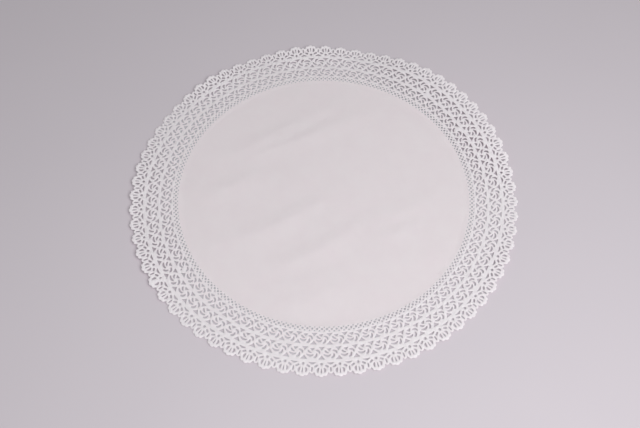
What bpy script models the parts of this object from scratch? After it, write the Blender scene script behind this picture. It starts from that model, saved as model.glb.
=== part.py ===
"""A round paper lace doily, cut and embossed in one stroke from a single sheet.

The doily lies flat on z = 0, centred on the z axis, with +Z up. Going outwards it has a plain centre, a narrow
band of diamond mesh, two rings of round pinwheels with plain bands between them, and a scalloped edge of fans.
The sheet here is plain between the edge and the four gaps of each repeat that are large enough to be openings:
the triangles left between neighbouring pinwheels, above and below the places where they touch.
"""

import math
from typing import NamedTuple

import bmesh
import bpy
from mathutils import Matrix, Vector
from mathutils.geometry import delaunay_2d_cdt

# Sizes in metres. A phase is a share of one repeat, counted from the middle of its fan.
REPEATS = 70
OUTER_RADIUS = 0.150  # tip of a fan
SHEET_THICKNESS = 0.001
FIRST_FAN = 0.359  # phase of the first fan, counted round from +X

FAN_DIP_PHASE = 0.140  # between a fan's middle scallop and its side scallops
FAN_SIDE_PHASE = 0.225
FAN_SHOULDER_PHASE = 0.318
NOTCH_PHASE = 0.380  # between a fan and the small lobe beside it
FAN_DIP_RADIUS = OUTER_RADIUS - 0.0011
FAN_SIDE_RADIUS = OUTER_RADIUS - 0.0008
FAN_SHOULDER_RADIUS = OUTER_RADIUS - 0.0024
NOTCH_RADIUS = OUTER_RADIUS - 0.0036
LOBE_RADIUS = OUTER_RADIUS - 0.0024
FAN_STEPS = 4
FAN_SIDE_STEPS = 3
LOBE_STEPS = 4

ALL_INSIDE = 1  # the triangulation's output: every triangle inside an outline
TOUCHING = 1e-8  # points nearer than this are one

PAPER_COLOUR = (0.88, 0.86, 0.87, 1.0)
PAPER_ROUGHNESS = 0.85


class Place(NamedTuple):
    """A place on the sheet, by its phase in the repeat and its distance from the centre."""

    phase: float
    radius: float


class Gap(NamedTuple):
    """A triangular opening: its apex and its base, which lies along a plain band."""

    phase: float
    apex_radius: float
    base_radius: float
    base_width: float
    side_bow: float  # how far each side bulges inwards, round the pinwheel beside it


GAPS = (
    Gap(phase=0.0, apex_radius=0.1344, base_radius=0.1369, base_width=0.0045, side_bow=0.00026),
    Gap(phase=0.0, apex_radius=0.1306, base_radius=0.1281, base_width=0.0039, side_bow=0.00026),
    Gap(phase=0.5, apex_radius=0.1236, base_radius=0.1258, base_width=0.0045, side_bow=0.00024),
    Gap(phase=0.5, apex_radius=0.1200, base_radius=0.1177, base_width=0.0038, side_bow=0.00024),
)


def clear_scene() -> None:
    for old in list(bpy.data.objects):
        bpy.data.objects.remove(old, do_unlink=True)


def turned(phase: float) -> Matrix:
    """The turn from +X to the given phase."""
    return Matrix.Rotation(math.tau * (FIRST_FAN + phase) / REPEATS, 2)


def on_sheet(place: Place) -> Vector:
    return turned(place.phase) @ Vector((place.radius, 0.0))


def arc_through(start: Vector, middle: Vector, end: Vector, steps: int) -> list[Vector]:
    """Points along the arc from start to end that passes through middle, without end itself."""
    to_middle, to_end = middle - start, end - start
    turn = 2.0 * (to_middle.x * to_end.y - to_middle.y * to_end.x)
    to_centre = Vector((
        to_end.y * to_middle.length_squared - to_middle.y * to_end.length_squared,
        to_middle.x * to_end.length_squared - to_end.x * to_middle.length_squared,
    )) / turn
    centre = start + to_centre
    spoke = -to_centre
    sweep = spoke.angle_signed(end - centre)
    if sweep * turn > 0.0:  # angle_signed is positive clockwise
        sweep -= math.copysign(math.tau, sweep)
    return [centre + Matrix.Rotation(-sweep * step / steps, 2) @ spoke for step in range(steps)]


def edge_of_repeat() -> list[Vector]:
    """The scalloped edge of the fan at phase 0 and of the small lobe after it."""
    dips = [on_sheet(Place(side * FAN_DIP_PHASE, FAN_DIP_RADIUS)) for side in (-1, 1)]
    sides = [on_sheet(Place(side * FAN_SIDE_PHASE, FAN_SIDE_RADIUS)) for side in (-1, 1)]
    shoulders = [on_sheet(Place(side * FAN_SHOULDER_PHASE, FAN_SHOULDER_RADIUS)) for side in (-1, 1)]
    notches = [on_sheet(Place(phase, NOTCH_RADIUS)) for phase in (NOTCH_PHASE, 1.0 - NOTCH_PHASE)]
    fan_tip = on_sheet(Place(0.0, OUTER_RADIUS))
    lobe_tip = on_sheet(Place(0.5, LOBE_RADIUS))
    return [
        *arc_through(shoulders[0], sides[0], dips[0], FAN_SIDE_STEPS),
        *arc_through(dips[0], fan_tip, dips[1], FAN_STEPS),
        *arc_through(dips[1], sides[1], shoulders[1], FAN_SIDE_STEPS),
        shoulders[1],
        *arc_through(notches[0], lobe_tip, notches[1], LOBE_STEPS),
        notches[1],
    ]


def edge_of_gap(gap: Gap) -> list[Vector]:
    """One triangular gap, counter-clockwise: its apex, down one side, along the base and back."""
    outward = math.copysign(1.0, gap.base_radius - gap.apex_radius)
    apex = Vector((gap.apex_radius, 0.0))
    corner = Vector((gap.base_radius, -outward * gap.base_width / 2.0))
    side = corner - apex
    middle = apex + side / 2.0 + side.orthogonal().normalized() * gap.side_bow
    mirror = Matrix.Diagonal((1.0, -1.0))
    loop = [apex, middle, corner, mirror @ corner, mirror @ middle]
    return [turned(gap.phase) @ point for point in loop]


def repeated_round(loop: list[Vector]) -> list[list[Vector]]:
    return [
        [Matrix.Rotation(math.tau * repeat / REPEATS, 2) @ point for point in loop]
        for repeat in range(REPEATS)
    ]


def flat_sheet() -> bmesh.types.BMesh:
    """The sheet as one flat, pierced layer of triangles facing down."""
    edge = [point for repeat in repeated_round(edge_of_repeat()) for point in repeat]
    gaps = [loop for gap in GAPS for loop in repeated_round(edge_of_gap(gap))]
    points: list[Vector] = []
    outlines: list[list[int]] = []
    for loop in (edge, *gaps):
        outlines.append(list(range(len(points), len(points) + len(loop))))
        points += loop
    corners, _, faces, _, _, outlines_round = delaunay_2d_cdt(points, [], outlines, ALL_INSIDE, TOUCHING)
    layer = bmesh.new()
    vertices = [layer.verts.new((corner.x, corner.y, 0.0)) for corner in corners]
    for face, held_by in zip(faces, outlines_round):
        if held_by == [0]:  # inside the edge alone, and so in no gap
            layer.faces.new([vertices[index] for index in reversed(face)])
    return layer


def paper_material() -> bpy.types.Material:
    material = bpy.data.materials.new("paper")
    material.use_nodes = True
    shader = material.node_tree.nodes["Principled BSDF"]
    shader.inputs["Base Color"].default_value = PAPER_COLOUR
    shader.inputs["Roughness"].default_value = PAPER_ROUGHNESS
    shader.inputs["Metallic"].default_value = 0.0
    return material


def build_doily() -> bpy.types.Object:
    """The sheet, given its thickness upwards from z = 0."""
    sheet = flat_sheet()
    raised = bmesh.ops.extrude_face_region(sheet, geom=sheet.faces[:], use_keep_orig=True)
    top = [item for item in raised["geom"] if isinstance(item, bmesh.types.BMVert)]
    bmesh.ops.translate(sheet, verts=top, vec=(0.0, 0.0, SHEET_THICKNESS))
    bmesh.ops.recalc_face_normals(sheet, faces=sheet.faces[:])
    mesh = bpy.data.meshes.new("doily")
    sheet.to_mesh(mesh)
    sheet.free()
    mesh.materials.append(paper_material())
    doily = bpy.data.objects.new("doily", mesh)
    bpy.context.scene.collection.objects.link(doily)
    return doily


clear_scene()
build_doily()
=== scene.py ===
"""The looks of a round paper lace doily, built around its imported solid.

The doily is one sheet of white paper, cut and embossed in a single stroke of the press. It lies on z = 0,
centred on the z axis. Going outwards it has a plain centre, a narrow band of diamond mesh, two rounds of
pinwheels with plain bands between them, and an edge of small fans. The same repeat goes seventy times round.

The lace is charted one motif at a time: x runs clockwise along the round and y outwards, from the middle of
the motif. A motif's place is its phase, which is a share of one repeat counted from the middle of the fan,
and the radius of its middle. The chart and all sizes of the sheet are in millimetres, but for its flat size.
That, the mesh that is made, the finishes and the studio are in metres.
"""

import logging
import math
from abc import ABC, abstractmethod
from dataclasses import dataclass, replace
from enum import Enum
from typing import TypeVar

import bmesh
import bpy
from mathutils import Matrix, Vector
from mathutils.noise import noise


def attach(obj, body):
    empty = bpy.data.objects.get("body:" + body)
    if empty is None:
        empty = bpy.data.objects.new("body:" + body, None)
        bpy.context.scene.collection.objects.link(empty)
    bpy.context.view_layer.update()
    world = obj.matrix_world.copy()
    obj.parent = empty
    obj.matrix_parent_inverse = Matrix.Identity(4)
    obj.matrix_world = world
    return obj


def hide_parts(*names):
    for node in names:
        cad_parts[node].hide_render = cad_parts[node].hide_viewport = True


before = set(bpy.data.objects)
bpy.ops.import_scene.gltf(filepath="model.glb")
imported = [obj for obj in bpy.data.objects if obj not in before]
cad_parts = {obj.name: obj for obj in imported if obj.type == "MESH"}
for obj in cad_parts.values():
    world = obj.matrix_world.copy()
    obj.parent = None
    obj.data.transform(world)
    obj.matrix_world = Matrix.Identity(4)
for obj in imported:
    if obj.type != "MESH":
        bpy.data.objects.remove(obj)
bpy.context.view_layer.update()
LOG = logging.getLogger("doily")

MM = 0.001
REPEATS = 70
FIRST_FAN = 0.359  # phase of the first fan, counted round from +X
UP = Vector((0.0, 0.0, 1.0))
WELD = 1e-6  # corners nearer than this, in metres, are made one
LINE_STEP = 0.01  # share of a slot's line over which its direction is taken
SHORTEST = 1.0  # the least length, in millimetres, that another one is divided by
RANK_STEP = 1e5  # more than the flat sheet has corners
# painted highlight: the paper's finish colours the strands lighter wherever this attribute is 1
EMBOSSED_HIGHLIGHT_MASK = "embossed"  # the sheet's own attribute: 1 on the strands of the lace, 0 on plain paper
MIX_COLOURS = (6, 7)  # where a Mix node takes its two colours
MIX_RESULT = 2  # where it gives the mixed one

ChartPoint = tuple[float, float]
Colour = tuple[float, float, float, float]
Value = TypeVar("Value", float, Vector)


def seat(phase: float, radius: float) -> Matrix:
    """The place of a motif on the flat sheet.

    Args:
        phase: Share of a repeat, counted from the middle of the fan.
        radius: Distance of the motif's middle from the doily's centre, in millimetres.

    Returns:
        The matrix that takes the motif's chart, in millimetres, to the sheet, in metres.
    """
    around = math.tau * (FIRST_FAN + phase) / REPEATS - math.pi / 2.0
    return Matrix.Rotation(around, 4, UP) @ Matrix.Scale(MM, 4) @ Matrix.Translation((0.0, radius, 0.0))


def through_three(values: tuple[Value, Value, Value], share: float) -> Value:
    """Follows a smooth curve through three evenly spaced values.

    Args:
        values: The first, the middle and the last value.
        share: How far along the curve, from 0 to 1.

    Returns:
        The value there.
    """
    first, middle, last = values
    return (
        first * (1.0 - share) * (1.0 - 2.0 * share)
        + middle * 4.0 * share * (1.0 - share)
        + last * share * (2.0 * share - 1.0)
    )


def eased(value: float, start: float, end: float) -> float:
    """Rises smoothly from 0 to 1.

    Args:
        value: Where on the rise.
        start: Where the rise begins.
        end: Where it is complete.

    Returns:
        0 up to the start, 1 from the end on, and a share between them.
    """
    share = min(max((value - start) / (end - start), 0.0), 1.0)
    return share * share * (3.0 - 2.0 * share)


def rank(part: bmesh.types.BMEdge | bmesh.types.BMFace) -> float:
    """Ranks an edge or a face by its corners, because a fill leaves them in a new order each time.

    Args:
        part: The edge or face.

    Returns:
        A number in which its first corner counts most, and then the next two.
    """
    corners = sorted(corner.index for corner in part.verts)
    return sum(corner * RANK_STEP**-place for place, corner in enumerate(corners[:3]))


class Cut(ABC):
    """A hole of the lace, charted in its motif's own millimetres."""

    @abstractmethod
    def punch(self, sheet: bmesh.types.BMesh, place: Matrix) -> None:
        """Draws the hole's outline on the sheet as a face, which the fill leaves open.

        Args:
            sheet: The flat sheet.
            place: The motif's place on it, from seat().
        """


@dataclass(frozen=True)
class Eyelet(Cut):
    """A round or oval hole."""

    middle: ChartPoint
    radius: float
    height: float = 0.0  # half the height of an oval one
    corners: int = 8

    def punch(self, sheet: bmesh.types.BMesh, place: Matrix) -> None:
        """Draws the hole as a circle, stretched to its height.

        Args:
            sheet: The flat sheet.
            place: The motif's place on it.
        """
        oval = Matrix.Diagonal((1.0, (self.height or self.radius) / self.radius, 1.0, 1.0))
        bmesh.ops.create_circle(
            sheet,
            cap_ends=True,
            radius=self.radius,
            segments=self.corners,
            matrix=place @ Matrix.Translation((*self.middle, 0.0)) @ oval,
        )


@dataclass(frozen=True)
class Slot(Cut):
    """A bent slot with rounded ends, such as those that curl round a pinwheel's hub."""

    line: tuple[ChartPoint, ChartPoint, ChartPoint]
    half_widths: tuple[float, float, float]
    bluntness: float = 0.5  # lower for squarer ends
    corners: int = 12

    def punch(self, sheet: bmesh.types.BMesh, place: Matrix) -> None:
        """Draws a circle, then bends and widens it along the slot's line.

        Args:
            sheet: The flat sheet.
            place: The motif's place on it.
        """
        ring = bmesh.ops.create_circle(sheet, cap_ends=True, radius=1.0, segments=self.corners)["verts"]
        line = tuple(Vector(point) for point in self.line)
        for corner in ring:
            share = (1.0 + corner.co.y) / 2.0
            ahead = through_three(line, share + LINE_STEP) - through_three(line, share - LINE_STEP)
            side = math.copysign(abs(corner.co.x) ** self.bluntness, corner.co.x)
            across = ahead.orthogonal().normalized() * side * through_three(self.half_widths, share)
            corner.co = place @ (through_three(line, share) + across).to_3d()


@dataclass(frozen=True)
class Window(Cut):
    """A hole with straight or bowed sides and slightly rounded corners."""

    corners: tuple[ChartPoint, ...]
    rounding: float
    steps: int = 2  # edges round each corner

    def punch(self, sheet: bmesh.types.BMesh, place: Matrix) -> None:
        """Draws the hole from its corners and rounds them.

        Args:
            sheet: The flat sheet.
            place: The motif's place on it.
        """
        corners = [sheet.verts.new(place @ Vector((*corner, 0.0))) for corner in self.corners]
        sheet.faces.new(corners)
        bmesh.ops.bevel(
            sheet,
            geom=corners,
            affect="VERTICES",
            offset=self.rounding * MM,
            segments=self.steps,
            profile=0.5,
            material=-1,
        )


def mirrored(cut: Slot | Window) -> Slot | Window:
    """Takes a cut to the other side of its motif.

    Args:
        cut: The cut on one side.

    Returns:
        The same cut, turned over.
    """
    if isinstance(cut, Slot):
        return replace(cut, line=tuple((-x, y) for x, y in cut.line))
    return replace(cut, corners=tuple((-x, y) for x, y in reversed(cut.corners)))


def gap_beside_pinwheels(apex: float, base: float, half_base: float, bow: float) -> Window:
    """The triangle left between two neighbouring pinwheels and the plain band next to them.

    Args:
        apex: Height of the apex, where the two pinwheels touch.
        base: Height of the base, along the plain band.
        half_base: Half the width of the base.
        bow: How far each side bulges into the gap, round its pinwheel.

    Returns:
        The gap, charted about the middle of its own round.
    """
    middle = (half_base / 2.0 - bow, (apex + base) / 2.0 + math.copysign(bow, base - apex))
    side = ((0.0, apex), middle, (half_base, base))
    return Window((*side, *((-x, y) for x, y in reversed(side[1:]))), rounding=0.35)


@dataclass(frozen=True)
class Motif:
    """A group of cuts about one middle."""

    phase: float
    radius: float
    cuts: tuple[Cut, ...]
    times: int = 1  # how often it comes in each repeat

    def punch(self, sheet: bmesh.types.BMesh) -> None:
        """Draws the motif's cuts on the sheet.

        Args:
            sheet: The flat sheet.
        """
        for time in range(self.times):
            place = seat(self.phase + time / self.times, self.radius)
            for cut in self.cuts:
                cut.punch(sheet, place)


@dataclass(frozen=True)
class MeshBand:
    """The narrow band of diamond mesh round the plain centre: a row of eyelets between two of small gaps."""

    inner_radius: float = 113.2
    middle_radius: float = 114.6
    outer_radius: float = 116.05
    eyelets_per_repeat: int = 3
    eyelet: Eyelet = Eyelet((0.0, 0.0), radius=0.82)
    inner_gap: Window = Window(((-0.75, -0.40), (0.75, -0.40), (0.0, 0.75)), rounding=0.28, steps=1)
    outer_gap: Window = Window(((0.75, 0.42), (-0.75, 0.42), (0.0, -0.80)), rounding=0.28, steps=1)

    def motifs(self) -> list[Motif]:
        """Places the three rows of holes.

        Returns:
            The row of eyelets, then the row of gaps inside it and the one outside it.
        """
        times = self.eyelets_per_repeat
        half_step = 0.5 / times
        return [
            Motif(0.0, self.middle_radius, (self.eyelet,), times=times),
            Motif(half_step, self.inner_radius, (self.inner_gap,), times=times),
            Motif(half_step, self.outer_radius, (self.outer_gap,), times=times),
        ]


@dataclass(frozen=True)
class PinwheelRound:
    """A round of pinwheels that touch one another, and the gaps between them."""

    phase: float
    radius: float
    slots: tuple[Cut, ...]
    outer_gap: Window
    inner_gap: Window

    def motifs(self) -> list[Motif]:
        """Places the cuts of one repeat.

        Returns:
            The pinwheel, and the two gaps half a repeat away from it.
        """
        return [
            Motif(self.phase, self.radius, self.slots),
            Motif(self.phase + 0.5, self.radius, (self.outer_gap, self.inner_gap)),
        ]


OUTER_PINWHEELS = PinwheelRound(
    phase=0.5,
    radius=132.0,
    slots=(
        Slot(((-0.45, 1.65), (1.95, 2.65), (4.65, 1.45)), (0.42, 0.74, 0.45)),
        Slot(((-0.5, 3.95), (-2.25, 2.95), (-2.55, 0.7)), (0.62, 0.75, 0.4)),
        Slot(((-4.6, 1.05), (-3.9, -0.75), (-1.55, -1.45)), (0.4, 0.72, 0.5)),
        Window(((0.6, -0.85), (-0.3, -1.95), (-1.15, -3.0), (2.3, -2.7)), rounding=0.4),
        Slot(((0.8, 0.45), (2.6, -0.05), (3.5, -1.5)), (0.3, 0.6, 0.58)),
    ),
    outer_gap=gap_beside_pinwheels(2.3, 5.15, 2.45, 0.16),
    inner_gap=gap_beside_pinwheels(-1.1, -3.95, 2.15, 0.14),
)
INNER_PINWHEELS = PinwheelRound(
    phase=0.0,
    radius=121.8,
    slots=(
        Slot(((-0.3, 0.95), (1.95, 2.1), (4.25, 0.75)), (0.42, 0.72, 0.45)),
        Slot(((-0.5, 3.4), (-2.1, 2.45), (-2.3, 0.15)), (0.6, 0.77, 0.42)),
        Slot(((-4.2, 0.85), (-3.5, -1.1), (-1.3, -1.7)), (0.42, 0.66, 0.5)),
        Window(((0.35, -1.25), (-0.35, -2.2), (-1.2, -3.3), (2.3, -2.9), (1.35, -1.95)), rounding=0.35),
        Slot(((0.6, 0.1), (2.5, -0.5), (3.35, -1.9)), (0.3, 0.62, 0.6)),
    ),
    outer_gap=gap_beside_pinwheels(1.7, 4.35, 2.4, 0.15),
    inner_gap=gap_beside_pinwheels(-1.6, -4.05, 2.15, 0.1),
)


@dataclass(frozen=True)
class Scallop:
    """One bulge of the edge, drawn as an arc through three places, each a phase and a radius."""

    start: ChartPoint
    crown: ChartPoint
    end: ChartPoint
    steps: int

    def draw(self, sheet: bmesh.types.BMesh) -> None:
        """Sweeps a corner round the arc's centre.

        Args:
            sheet: The flat sheet.
        """
        start, crown, end = (seat(*place).translation for place in (self.start, self.crown, self.end))
        first, second = crown - start, end - start
        turn = first.cross(second)
        level = second * first.length_squared - first * second.length_squared
        centre = start + level.cross(turn) / (2.0 * turn.length_squared)
        spoke, last = start - centre, end - centre
        sweep = spoke.angle(last)
        if (crown - centre).dot(spoke + last) < 0.0:
            sweep = math.tau - sweep
        bmesh.ops.spin(
            sheet,
            geom=[sheet.verts.new(start)],
            cent=centre,
            axis=turn.normalized(),
            angle=sweep,
            steps=self.steps,
        )


SIDE_RAY = Window(
    ((2.15, 1.95), (1.85, 0.5), (1.55, -1.6), (2.4, -1.25), (3.15, -0.65), (3.3, 0.2), (2.75, 1.75)),
    rounding=0.25,
)
SHOULDER_SLOT = Slot(((4.95, -2.1), (3.8, -2.8), (2.55, -3.5)), (0.62, 0.68, 0.62), bluntness=0.3)
LOBE_FOOT = Window(
    ((-2.65, -5.45), (0.0, -5.4), (2.65, -5.45), (1.2, -4.45), (0.0, -3.95), (-1.2, -4.45)),
    rounding=0.3,
)


@dataclass(frozen=True)
class FanEdge:
    """The edge of small fans with a lobe between each two.

    A place on the outline of a fan is its phase, and how far it lies inside the fan's tip.
    """

    radius: float = 144.84  # the holes are charted about it
    outer_radius: float = 150.0  # of the fan's tip
    lobe_phase: float = 0.5
    lobe_depth: float = 2.4  # how far the lobe's tip lies inside the fan's
    dip: ChartPoint = (0.140, 1.1)  # between the fan's middle scallop and its side one
    side: ChartPoint = (0.225, 0.8)
    shoulder: ChartPoint = (0.318, 2.4)
    flank: ChartPoint = (0.350, 2.95)
    notch: ChartPoint = (0.380, 3.6)  # between the fan and the lobe
    fan: tuple[Cut, ...] = (
        Eyelet((0.0, -4.15), radius=0.94, corners=10),
        Slot(((0.0, -1.2), (0.0, 0.8), (0.0, 2.45)), (0.14, 0.33, 0.43)),
        SIDE_RAY,
        mirrored(SIDE_RAY),
        SHOULDER_SLOT,
        mirrored(SHOULDER_SLOT),
    )
    lobe: tuple[Cut, ...] = (
        Slot(((0.0, -2.1), (0.0, -0.4), (0.0, 1.3)), (0.36, 0.49, 0.36)),
        LOBE_FOOT,
    )

    def motifs(self) -> list[Motif]:
        """The holes of one fan and of the lobe beside it."""
        return [Motif(0.0, self.radius, self.fan), Motif(self.lobe_phase, self.radius, self.lobe)]

    def both_sides(self, place: ChartPoint) -> tuple[ChartPoint, ChartPoint]:
        """The phase and radius of a place on the outline, before the fan's middle and after it."""
        phase, depth = place
        return (-phase, self.outer_radius - depth), (phase, self.outer_radius - depth)

    def scallops(self) -> list[Scallop]:
        """Draws up the outline of one repeat.

        Returns:
            The scallops of the fan, and that of the lobe after it.
        """
        dips, sides, shoulders, flanks, notches = (
            self.both_sides(place) for place in (self.dip, self.side, self.shoulder, self.flank, self.notch)
        )
        tip = (0.0, self.outer_radius)
        lobe_tip = (self.lobe_phase, self.outer_radius - self.lobe_depth)
        next_notch = (1.0 - self.notch[0], self.outer_radius - self.notch[1])
        return [
            Scallop(notches[0], flanks[0], shoulders[0], steps=2),
            Scallop(shoulders[0], sides[0], dips[0], steps=4),
            Scallop(dips[0], tip, dips[1], steps=6),
            Scallop(dips[1], sides[1], shoulders[1], steps=4),
            Scallop(shoulders[1], flanks[1], notches[1], steps=2),
            Scallop(notches[1], lobe_tip, next_notch, steps=5),
        ]


@dataclass(frozen=True)
class PlainCentre:
    """The plain middle of the sheet."""

    radius: float = 112.3
    rings: int = 28
    spokes: int = 2 * REPEATS

    def draw(self, sheet: bmesh.types.BMesh) -> list[bmesh.types.BMEdge]:
        """Sweeps a spoke of evenly spaced points right round.

        Args:
            sheet: The flat sheet.

        Returns:
            The edges round the outside.
        """
        places = [self.radius * MM * ring / self.rings for ring in range(self.rings + 1)]
        spoke = [sheet.verts.new((place, 0.0, 0.0)) for place in places]
        edges = [sheet.edges.new(pair) for pair in zip(spoke, spoke[1:])]
        bmesh.ops.spin(
            sheet,
            geom=[*spoke, *edges],
            cent=(0.0, 0.0, 0.0),
            axis=UP,
            angle=math.tau,
            steps=self.spokes,
            use_merge=True,
        )
        bmesh.ops.remove_doubles(sheet, verts=sheet.verts[:], dist=WELD)
        return [edge for edge in sheet.edges if edge.is_boundary]


@dataclass(frozen=True)
class Curl:
    """A stretch of the edge that stands off the table."""

    azimuth: float  # of its middle, in degrees counted round from +X
    half_spread: float  # along the edge, in degrees
    start: float  # radius at which the paper leaves the table
    slope: float  # of the paper past the bend
    bend: float = 8.0  # length of the bend
    squareness: float = 2.0  # higher for a curl that ends more suddenly along the edge

    def lift(self, radius: float, azimuth: float) -> float:
        """How far the curl lifts the paper.

        Args:
            radius: Distance from the doily's centre, in millimetres.
            azimuth: Direction from it, in degrees.

        Returns:
            The lift in millimetres.
        """
        out = max(radius - self.start, 0.0)
        along = abs((azimuth - self.azimuth + 180.0) % 360.0 - 180.0) / self.half_spread
        return self.slope * (math.hypot(out, self.bend) - self.bend) * math.exp(-(along**self.squareness))


@dataclass(frozen=True)
class Crease:
    """A soft crease across the plain centre, steeper on one side."""

    line: tuple[ChartPoint, ChartPoint, ChartPoint]
    height: float
    near_width: float  # of the side to the right of the line
    far_width: float
    unevenness: float = 0.5  # share by which the height comes and goes along the line
    swells: float = 4.0  # how often it does so
    end_share: float = 0.03  # share of its fading out that is cut off at each end
    fullness: float = 0.6  # lower for a crease that keeps its height nearer to its ends
    reach: float = 1.8  # how many widths away from its line it still bends the paper

    def beside(self, place: Vector) -> tuple[float, float, float]:
        """Where a place lies along the crease and beside it.

        Args:
            place: The place on the flat sheet, in millimetres.

        Returns:
            The share of the crease's length, the distance from it, and the width of that side.
        """
        start, middle, end = (Vector(point) for point in self.line)
        run = end - start
        share = min(max((place - start).dot(run) / run.length_squared, 0.0), 1.0)
        away = place - through_three((start, middle, end), share)
        return share, away.length, self.near_width if run.cross(away) < 0.0 else self.far_width

    def lift(self, place: Vector) -> float:
        """How far the crease lifts the paper.

        Args:
            place: The place on the flat sheet, in millimetres.

        Returns:
            The lift in millimetres.
        """
        share, away, width = self.beside(place)
        along = self.end_share + (1.0 - 2.0 * self.end_share) * share
        fade = math.sin(math.pi * along) ** self.fullness
        uneven = 1.0 + self.unevenness * noise(Vector((self.swells * share, self.line[0][1], 0.0)))
        return self.height * fade * uneven * math.exp(-((away / width) ** 2))

    def holds(self, place: Vector) -> bool:
        """True where the crease bends the paper."""
        _, away, width = self.beside(place)
        return away < self.reach * width


@dataclass(frozen=True)
class Flaw:
    """A place where the die has cut a repeat unlike the others. Its phases are counted from the first fan."""

    uncut: tuple[ChartPoint, ...]  # phase and radius of each hole that is missing
    cut_instead: tuple[Motif, ...]
    reach: float = 1.0  # from a missing hole's place to its middle, at most

    def redraw(self, sheet: bmesh.types.BMesh) -> None:
        """Takes the missing holes away, and draws those that are there instead.

        Args:
            sheet: The flat sheet, with every hole drawn as a face.
        """
        missing = [seat(*place).translation for place in self.uncut]
        corners = [
            corner
            for face in sheet.faces
            if any((face.calc_center_median() - place).length < self.reach * MM for place in missing)
            for corner in face.verts
        ]
        bmesh.ops.delete(sheet, geom=corners, context="VERTS")
        for motif in self.cut_instead:
            motif.punch(sheet)


NARROW_GAP = gap_beside_pinwheels(-1.5, -3.95, 1.65, 0.1)
SPLIT_GAP = (
    Window(((-0.44, 5.15), (2.45, 5.15), (0.0, 2.3), (-1.3, 3.78)), rounding=0.3, steps=1),
    Window(((-2.5, 5.2), (-1.05, 5.2), (-1.75, 4.1)), rounding=0.25, steps=1),
)
SHORT_SLOT = Slot(((-0.6, 3.3), (-1.05, 2.95), (-1.5, 2.55)), (0.55, 0.62, 0.45))
STRAY_EYELET = Eyelet((0.55, -4.2), radius=0.6, height=0.95)
SLIT = Slot(((-2.3, -4.0), (-1.7, -3.45), (-1.1, -2.9)), (0.3, 0.5, 0.3))
FLAWS = (
    Flaw(
        uncut=((5.158, 123.9), (5.0, 129.1)),
        cut_instead=(Motif(5.0, OUTER_PINWHEELS.radius, (NARROW_GAP,)),),
    ),
    Flaw(
        uncut=((41.158, 123.9), (41.0, 136.1), (41.0, 140.7), (41.0, 145.55)),
        cut_instead=(
            Motif(41.0, OUTER_PINWHEELS.radius, SPLIT_GAP),
            Motif(41.0, INNER_PINWHEELS.radius, (SHORT_SLOT,)),
            Motif(41.0, FanEdge.radius, (STRAY_EYELET,)),
        ),
    ),
    Flaw(
        uncut=((9.0, 129.1),),
        cut_instead=(Motif(9.0, OUTER_PINWHEELS.radius, (SLIT,)),),
    ),
)


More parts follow.
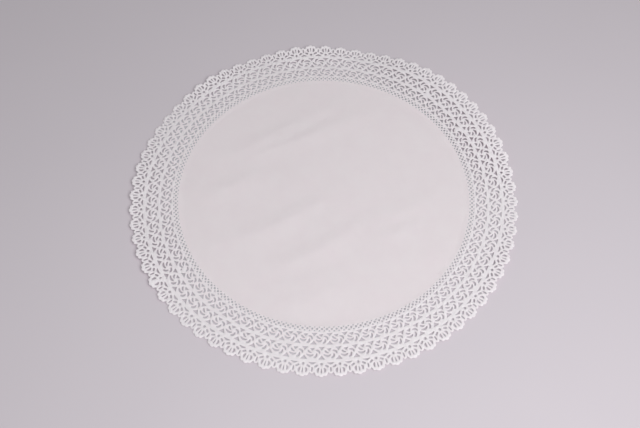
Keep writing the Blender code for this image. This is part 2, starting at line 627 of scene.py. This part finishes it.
@dataclass(frozen=True)
class LaceSheet:
    """The whole sheet, flat, cut and embossed."""

    centre: PlainCentre = PlainCentre()
    mesh_band: MeshBand = MeshBand()
    inner_pinwheels: PinwheelRound = INNER_PINWHEELS
    outer_pinwheels: PinwheelRound = OUTER_PINWHEELS
    fans: FanEdge = FanEdge()
    flaws: tuple[Flaw, ...] = FLAWS
    band_radii: tuple[float, float] = (126.95, 138.05)  # middles of the two plain bands, which are grooved
    band_points: int = 5 * REPEATS
    slopes: tuple[tuple[float, float], ...] = ((0.08, 0.14), (0.13, 0.09))  # width, rise of each step
    plain_rim: float = 0.1  # how far past the centre the paper is still plain

    def flat(self) -> bmesh.types.BMesh:
        """Cuts the sheet, and fills it course by course between the plain bands.

        Returns:
            One flat, pierced layer that faces up.
        """
        sheet = bmesh.new()
        self.draw_repeat(sheet)
        bmesh.ops.spin(
            sheet,
            geom=[*sheet.verts, *sheet.edges, *sheet.faces],
            cent=(0.0, 0.0, 0.0),
            axis=UP,
            angle=math.tau * (REPEATS - 1) / REPEATS,
            steps=REPEATS - 1,
            use_duplicate=True,
        )
        bmesh.ops.remove_doubles(sheet, verts=sheet.verts[:], dist=WELD)
        for flaw in self.flaws:
            flaw.redraw(sheet)
        bmesh.ops.delete(sheet, geom=sheet.faces[:], context="FACES_ONLY")
        outlines = sheet.edges[:]
        radii = {edge: (edge.verts[0].co.length + edge.verts[1].co.length) / (2.0 * MM) for edge in outlines}
        inner = self.centre.draw(sheet)
        bands = [
            bmesh.ops.create_circle(sheet, radius=radius * MM, segments=self.band_points)["verts"]
            for radius in self.band_radii
        ]
        rims = [[*dict.fromkeys(edge for corner in band for edge in corner.link_edges)] for band in bands]
        circles = [inner, *rims, []]
        limits = (0.0, *self.band_radii, math.inf)
        for inside, outside, low, high in zip(circles, circles[1:], limits, limits[1:]):
            course = [edge for edge in outlines if low < radii[edge] < high]
            edges = [*inside, *course, *outside]
            bmesh.ops.triangle_fill(sheet, use_beauty=True, edges=edges, normal=UP)
        sheet.verts.index_update()
        sheet.edges.sort(key=rank)
        sheet.faces.sort(key=rank)
        return sheet

    def draw_repeat(self, sheet: bmesh.types.BMesh) -> None:
        """Draws the holes and the edge of one repeat.

        Args:
            sheet: An empty sheet.
        """
        for course in (self.mesh_band, self.inner_pinwheels, self.outer_pinwheels, self.fans):
            for motif in course.motifs():
                motif.punch(sheet)
        for scallop in self.fans.scallops():
            scallop.draw(sheet)

    def emboss(self, sheet: bmesh.types.BMesh) -> None:
        """Gives the flat layer its underside, and raises every strand in two rounded steps.

        Args:
            sheet: The flat layer.
        """
        top = sheet.faces[:]
        under = bmesh.ops.duplicate(sheet, geom=[*sheet.verts, *sheet.edges, *sheet.faces])["geom"]
        under_faces = [item for item in under if isinstance(item, bmesh.types.BMFace)]
        bmesh.ops.reverse_faces(sheet, faces=under_faces)
        for width, rise in self.slopes:
            bmesh.ops.inset_region(
                sheet,
                faces=top,
                use_boundary=True,
                use_even_offset=True,
                thickness=width * MM,
                depth=rise * MM,
            )
        bmesh.ops.remove_doubles(sheet, verts=sheet.verts[:], dist=WELD)

    def mark(self, sheet: bmesh.types.BMesh) -> None:
        """Marks which corners are embossed lace, where the finish paints a highlight.

        Args:
            sheet: The embossed sheet.
        """
        layer = sheet.verts.layers.float.new(EMBOSSED_HIGHLIGHT_MASK)
        for corner in sheet.verts:
            corner[layer] = float(corner.co.xy.length > (self.centre.radius + self.plain_rim) * MM)

    def build(self) -> bmesh.types.BMesh:
        """Cuts, embosses and marks the sheet.

        Returns:
            The sheet, still flat.
        """
        sheet = self.flat()
        self.emboss(sheet)
        self.mark(sheet)
        return sheet


CURLS = (
    Curl(azimuth=37.0, half_spread=28.5, start=107.0, slope=0.255, squareness=3.5),
    Curl(azimuth=96.0, half_spread=12.0, start=126.0, slope=0.220),
    Curl(azimuth=131.0, half_spread=10.0, start=125.0, slope=0.185),
    Curl(azimuth=178.0, half_spread=15.0, start=113.0, slope=0.100),
    Curl(azimuth=206.0, half_spread=12.0, start=102.0, slope=0.075),
    Curl(azimuth=243.0, half_spread=8.0, start=112.0, slope=0.025),
    Curl(azimuth=276.0, half_spread=10.0, start=118.0, slope=0.036),
    Curl(azimuth=305.0, half_spread=18.0, start=114.0, slope=0.020),
    Curl(azimuth=333.0, half_spread=12.0, start=124.0, slope=0.095),
)
CREASES = (
    Crease(((-60.0, 34.0), (-13.0, 54.2), (34.0, 79.0)), height=0.95, near_width=9.0, far_width=6.0),
    Crease(((-53.0, 34.0), (-36.0, 42.0), (-12.0, 54.8)), height=0.30, near_width=2.0, far_width=4.0),
    Crease(((-80.0, 33.5), (-32.5, 60.5), (15.0, 90.0)), height=0.80, near_width=6.5, far_width=5.5),
    Crease(((-93.0, -5.0), (-72.0, 6.5), (-50.0, 20.0)), height=0.85, near_width=9.0, far_width=5.5),
    Crease(((-92.8, -51.8), (-53.0, -35.0), (-4.8, -9.2)), height=1.15, near_width=11.0, far_width=7.0),
    Crease(((-36.0, -65.0), (-8.0, -51.0), (24.0, -31.0)), height=1.05, near_width=9.0, far_width=5.0),
    Crease(((-38.0, -81.0), (-18.0, -77.0), (4.0, -68.0)), height=0.70, near_width=7.0, far_width=3.5),
    Crease(((-34.0, -96.0), (-8.0, -89.0), (14.0, -79.0)), height=0.90, near_width=7.0, far_width=5.0),
    Crease(((33.0, -23.2), (65.0, -13.7), (97.0, 10.8)), height=0.75, near_width=10.0, far_width=6.0),
    Crease(((41.0, -41.8), (56.0, -34.8), (69.0, -27.8)), height=0.75, near_width=8.0, far_width=4.0),
)


@dataclass(frozen=True)
class LaidSheet:
    """How the sheet lies on the table: its edge curls up here and there, and its centre is softly creased."""

    name: str = "lace_sheet"
    lace: LaceSheet = LaceSheet()
    curls: tuple[Curl, ...] = CURLS
    creases: tuple[Crease, ...] = CREASES
    clearance: float = 0.05  # under the lowest places
    arch: float = 0.45  # height at which the pressed lace bridges the table
    arch_width: float = 2.5  # from the centre's rim, where the arch begins, to its full height
    dish: float = 0.5  # how far the plain centre rises towards the lace
    dish_start: float = 60.0  # radius where it begins to
    droop: float = 0.6  # share of the dish's height that is lost again towards the edge
    droop_start: float = 122.0  # radius where it begins to be
    band_width: float = 1.3
    pressing: float = 0.6  # share of the arch that is pressed down again along the plain bands
    cockle: float = 0.15  # depth of the paper's gentle waves
    cockle_length: float = 30.0
    curled_rim: float = 10.0  # of the plain centre, which is drawn in with the lace where that curls
    sharp_width: float = 4.0  # a crease narrower than this is a sharp one
    coarse_rim: float = 1.0  # of the plain centre, which is given no smaller faces
    sharp_angle: float = 50.0  # between two faces that are shaded apart, in degrees
    flat_width: float = 0.300  # in metres
    flat_area: float = 0.0621  # in square metres

    def build(self) -> bpy.types.Object:
        """Makes the sheet and lays it.

        Returns:
            The finished piece.
        """
        sheet = self.lace.build()
        self.soften(sheet)
        for corner in sheet.verts:
            self.lay(corner)
        for face in sheet.faces:
            face.smooth = True
        mesh = bpy.data.meshes.new(self.name)
        sheet.to_mesh(mesh)
        sheet.free()
        mesh.set_sharp_from_angle(angle=math.radians(self.sharp_angle))
        piece = bpy.data.objects.new(self.name, mesh)
        bpy.context.scene.collection.objects.link(piece)
        return piece

    def arched(self, radius: float) -> float:
        """How far the pressed sheet stands off the table where nothing curls or creases it.

        Args:
            radius: Distance from the doily's centre, in millimetres.

        Returns:
            The height in millimetres.
        """
        out = min(max((radius - self.lace.centre.radius) / self.arch_width, 0.0), 1.0)
        pressed = sum(math.exp(-(((radius - band) / self.band_width) ** 2)) for band in self.lace.band_radii)
        dished = self.dish * eased(radius, self.dish_start, self.lace.centre.radius)
        dished *= 1.0 - self.droop * eased(radius, self.droop_start, self.lace.fans.outer_radius)
        return dished + self.arch * math.sin(out * math.pi / 2.0) * (1.0 - self.pressing * pressed)

    def soften(self, sheet: bmesh.types.BMesh) -> None:
        """Gives the plain centre smaller faces where a sharp crease will bend it.

        Args:
            sheet: The flat sheet.
        """
        sharp = [crease for crease in self.creases if crease.near_width < self.sharp_width]
        bent = [
            face
            for face in sheet.faces
            if face.calc_center_median().xy.length < (self.lace.centre.radius - self.coarse_rim) * MM
            and any(crease.holds(face.calc_center_median().xy / MM) for crease in sharp)
        ]
        edges = [*dict.fromkeys(edge for face in bent for edge in face.edges)]
        bmesh.ops.subdivide_edges(sheet, edges=edges, cuts=1, use_grid_fill=True)

    def lay(self, corner: bmesh.types.BMVert) -> None:
        """Lifts a corner of the sheet, and draws it in where the paper has curled up.

        Args:
            corner: A corner of the flat sheet.
        """
        place = corner.co.xy / MM
        radius = place.length
        azimuth = math.degrees(math.atan2(place.y, place.x))
        curled = sum(curl.lift(radius, azimuth) for curl in self.curls)
        height = self.clearance + curled + self.arched(radius)
        height += self.cockle * (0.5 + 0.5 * noise(corner.co.xy.to_3d() / (self.cockle_length * MM)))
        if radius < self.lace.centre.radius:
            height += sum(crease.lift(place) for crease in self.creases)
        corner.co.z += height * MM
        run = max(radius - self.lace.centre.radius + self.curled_rim, SHORTEST)
        shortening = curled * curled / (2.0 * run)
        corner.co.xy *= 1.0 - shortening / max(radius, SHORTEST)


class Finish(Enum):
    """The finishes of the scene, by name."""

    PAPER = "paper"
    TABLE = "table_top"


@dataclass
class FinishNodes:
    """The nodes of a finish, made one after another."""

    name: Finish

    def __post_init__(self) -> None:
        """Makes the material, and looks up its shader."""
        self.material = bpy.data.materials.new(self.name.value)
        self.material.use_nodes = True
        self.nodes = self.material.node_tree.nodes
        self.links = self.material.node_tree.links
        self.shader = self.nodes["Principled BSDF"]
        self.place = self.nodes.new("ShaderNodeTexCoord").outputs["Object"]

    def noise(
        self, scale: float, detail: float = 3.0, stretch: Vector | None = None, turn: float = 0.0
    ) -> bpy.types.NodeSocket:
        """Makes noise over the object's own coordinates.

        Args:
            scale: How many cells to a metre.
            detail: How many finer layers it has.
            stretch: How much finer it is along x, y and z.
            turn: Turn of the pattern about z, in degrees.

        Returns:
            The noise's value.
        """
        made = self.nodes.new("ShaderNodeTexNoise")
        made.inputs["Scale"].default_value = scale
        made.inputs["Detail"].default_value = detail
        mapping = self.nodes.new("ShaderNodeMapping")
        mapping.inputs["Scale"].default_value = stretch or Vector((1.0, 1.0, 1.0))
        mapping.inputs["Rotation"].default_value = (0.0, 0.0, math.radians(turn))
        self.links.new(self.place, mapping.inputs["Vector"])
        self.links.new(mapping.outputs["Vector"], made.inputs["Vector"])
        return made.outputs["Fac"]

    def spread(
        self, value: bpy.types.NodeSocket, low: float, high: float, tails: tuple[float, float] = (0.3, 0.7)
    ) -> bpy.types.NodeSocket:
        """Spreads a value over another range.

        Args:
            value: The value.
            low: The lowest result.
            high: The highest result.
            tails: The values that give the lowest and the highest result.

        Returns:
            The result.
        """
        made = self.nodes.new("ShaderNodeMapRange")
        names = ("From Min", "From Max", "To Min", "To Max")
        for name, number in zip(names, (*tails, low, high)):
            made.inputs[name].default_value = number
        self.links.new(value, made.inputs["Value"])
        return made.outputs["Result"]

    def blend(
        self, share: bpy.types.NodeSocket, first: Colour | bpy.types.NodeSocket, second: Colour
    ) -> bpy.types.NodeSocket:
        """Mixes two colours.

        Args:
            share: The second colour's share.
            first: A plain colour, or one that is itself mixed.
            second: A plain colour.

        Returns:
            The mixed colour.
        """
        made = self.nodes.new("ShaderNodeMix")
        made.data_type = "RGBA"
        self.links.new(share, made.inputs["Factor"])
        first_input, second_input = (made.inputs[number] for number in MIX_COLOURS)
        if isinstance(first, tuple):
            first_input.default_value = first
        else:
            self.links.new(first, first_input)
        second_input.default_value = second
        return made.outputs[MIX_RESULT]

    def bump(
        self,
        height: bpy.types.NodeSocket,
        depth: float,
        strength: float,
        under: bpy.types.NodeSocket | None = None,
    ) -> bpy.types.NodeSocket:
        """Bumps the surface.

        Args:
            height: The bump's height, from 0 to 1.
            depth: How deep it is, in metres.
            strength: How strongly it turns the surface.
            under: Another bump, which this one lies over.

        Returns:
            The way that the bumped surface faces.
        """
        made = self.nodes.new("ShaderNodeBump")
        made.inputs["Distance"].default_value = depth
        made.inputs["Strength"].default_value = strength
        self.links.new(height, made.inputs["Height"])
        if under:
            self.links.new(under, made.inputs["Normal"])
        return made.outputs["Normal"]


@dataclass(frozen=True)
class Paper:
    """Thin white paper that lets some light in, cloudy and fibrous, with a painted highlight on its strands.
    """

    plain: Colour = (0.93, 0.803, 0.842, 1.0)
    cloudy: Colour = (0.915, 0.784, 0.827, 1.0)
    # painted highlight: the embossed strands are coloured lighter than the plain paper
    strand_highlight: Colour = (0.98, 0.85, 0.895, 1.0)
    roughness: tuple[float, float] = (0.66, 0.86)
    gloss: float = 0.35
    scatter: float = 1.0  # share of the light that scatters inside
    scatter_depth: float = 0.00046
    scatter_tint: tuple[float, float, float] = (1.0, 1.0, 1.0)  # how deep red, green and blue go, by ratio
    clouds: float = 70.0  # to a metre, as the grain and the fibres are
    grain: float = 2600.0
    grain_depth: float = 0.00004
    grain_strength: float = 0.5
    fibres: float = 420.0
    fibre_slimness: float = 7.0
    fibre_turns: tuple[float, float, float] = (12.0, 75.0, 138.0)  # in degrees
    fibre_depth: float = 0.00006
    fibre_strength: float = 0.3

    def material(self) -> bpy.types.Material:
        """Makes the finish.

        Returns:
            The paper's material. It reads the sheet's own attribute EMBOSSED_HIGHLIGHT_MASK.
        """
        finish = FinishNodes(Finish.PAPER)
        clouds = finish.spread(finish.noise(self.clouds, detail=4.0), 0.0, 1.0)
        embossed = finish.nodes.new("ShaderNodeAttribute")
        embossed.attribute_name = EMBOSSED_HIGHLIGHT_MASK
        unhighlighted = finish.blend(clouds, self.plain, self.cloudy)
        # the strands of the lace get the lighter colour, a painted highlight
        colour = finish.blend(embossed.outputs["Fac"], unhighlighted, self.strand_highlight)
        finish.links.new(colour, finish.shader.inputs["Base Color"])
        grain = finish.noise(self.grain, detail=4.0)
        slim = Vector((1.0, self.fibre_slimness, 1.0))
        fibres = [finish.noise(self.fibres, detail=2.0, stretch=slim, turn=turn) for turn in self.fibre_turns]
        finish.links.new(finish.spread(grain, *self.roughness), finish.shader.inputs["Roughness"])
        surface = finish.bump(grain, self.grain_depth, self.grain_strength)
        for fibre in fibres:
            surface = finish.bump(fibre, self.fibre_depth, self.fibre_strength, under=surface)
        finish.links.new(surface, finish.shader.inputs["Normal"])
        finish.shader.inputs["Specular IOR Level"].default_value = self.gloss
        finish.shader.inputs["Subsurface Weight"].default_value = self.scatter
        finish.shader.inputs["Subsurface Radius"].default_value = self.scatter_tint
        finish.shader.inputs["Subsurface Scale"].default_value = self.scatter_depth
        return finish.material


@dataclass(frozen=True)
class TableTop:
    """A matt, pale table top."""

    colour: Colour = (0.655, 0.605, 0.65, 1.0)
    worn: Colour = (0.64, 0.592, 0.637, 1.0)
    roughness: tuple[float, float] = (0.72, 0.80)
    wear: float = 5.0  # patches to a metre

    def material(self) -> bpy.types.Material:
        """Makes the finish.

        Returns:
            The table top's material.
        """
        finish = FinishNodes(Finish.TABLE)
        wear = finish.spread(finish.noise(self.wear), 0.0, 1.0)
        finish.links.new(finish.blend(wear, self.colour, self.worn), finish.shader.inputs["Base Color"])
        roughness = finish.spread(wear, *self.roughness, tails=(0.0, 1.0))
        finish.links.new(roughness, finish.shader.inputs["Roughness"])
        return finish.material


@dataclass(frozen=True)
class Studio:
    """The table top, the lights and the camera."""

    table_half_width: float = 2.5
    key_place: tuple[float, float, float] = (0.267, -0.441, 0.802)
    key_size: float = 0.7
    key_power: float = 6.8
    surround: float = 0.30
    surround_colour: Colour = (1.0, 1.0, 1.0, 1.0)
    lens: float = 45.06  # in millimetres
    eye_place: tuple[float, float, float] = (-0.00285, -0.33746, 0.5241)
    eye_turn: tuple[float, float, float] = (31.248, -0.047, 0.077)  # in degrees

    def build(self) -> None:
        """Makes the stage."""
        self.table_top()
        self.lights()
        self.camera()

    def table_top(self) -> None:
        """Lays a plain pale floor."""
        floor = bmesh.new()
        bmesh.ops.create_grid(floor, x_segments=1, y_segments=1, size=self.table_half_width)
        mesh = bpy.data.meshes.new("floor")
        floor.to_mesh(mesh)
        floor.free()
        piece = bpy.data.objects.new("floor", mesh)
        bpy.context.scene.collection.objects.link(piece)
        mesh.materials.append(TableTop().material())

    def lights(self) -> None:
        """Hangs a large soft key light at the lower right, in a pale surround."""
        light = bpy.data.lights.new("key", "AREA")
        light.shape = "DISK"
        light.size = self.key_size
        light.energy = self.key_power
        key = bpy.data.objects.new("key", light)
        key.location = self.key_place
        key.rotation_euler = (-Vector(self.key_place)).to_track_quat("-Z", "Y").to_euler()
        key.visible_camera = False
        bpy.context.scene.collection.objects.link(key)
        world = bpy.data.worlds.new("surround")
        world.use_nodes = True
        background = world.node_tree.nodes["Background"]
        background.inputs["Color"].default_value = self.surround_colour
        background.inputs["Strength"].default_value = self.surround
        bpy.context.scene.world = world

    def camera(self) -> None:
        """Looks down at the doily from a seat at the table."""
        lens = bpy.data.cameras.new("camera")
        lens.lens = self.lens
        eye = bpy.data.objects.new("camera", lens)
        eye.location = self.eye_place
        eye.rotation_euler = tuple(math.radians(turn) for turn in self.eye_turn)
        bpy.context.scene.collection.objects.link(eye)
        bpy.context.scene.camera = eye


def main() -> None:
    """Builds the sheet, its finish and the studio."""
    logging.basicConfig(level=logging.INFO, format="%(name)s: %(message)s")
    laid = LaidSheet()
    piece = laid.build()
    piece.data.materials.append(Paper().material())
    LOG.info("%s: %d triangles", piece.name, sum(len(face.vertices) - 2 for face in piece.data.polygons))
    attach(piece, "root")
    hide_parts("doily")
    Studio().build()
    LOG.info("studio: table top, key light, surround and camera")
    bpy.context.scene.view_settings.view_transform = "Standard"


if __name__ == "__main__":
    main()
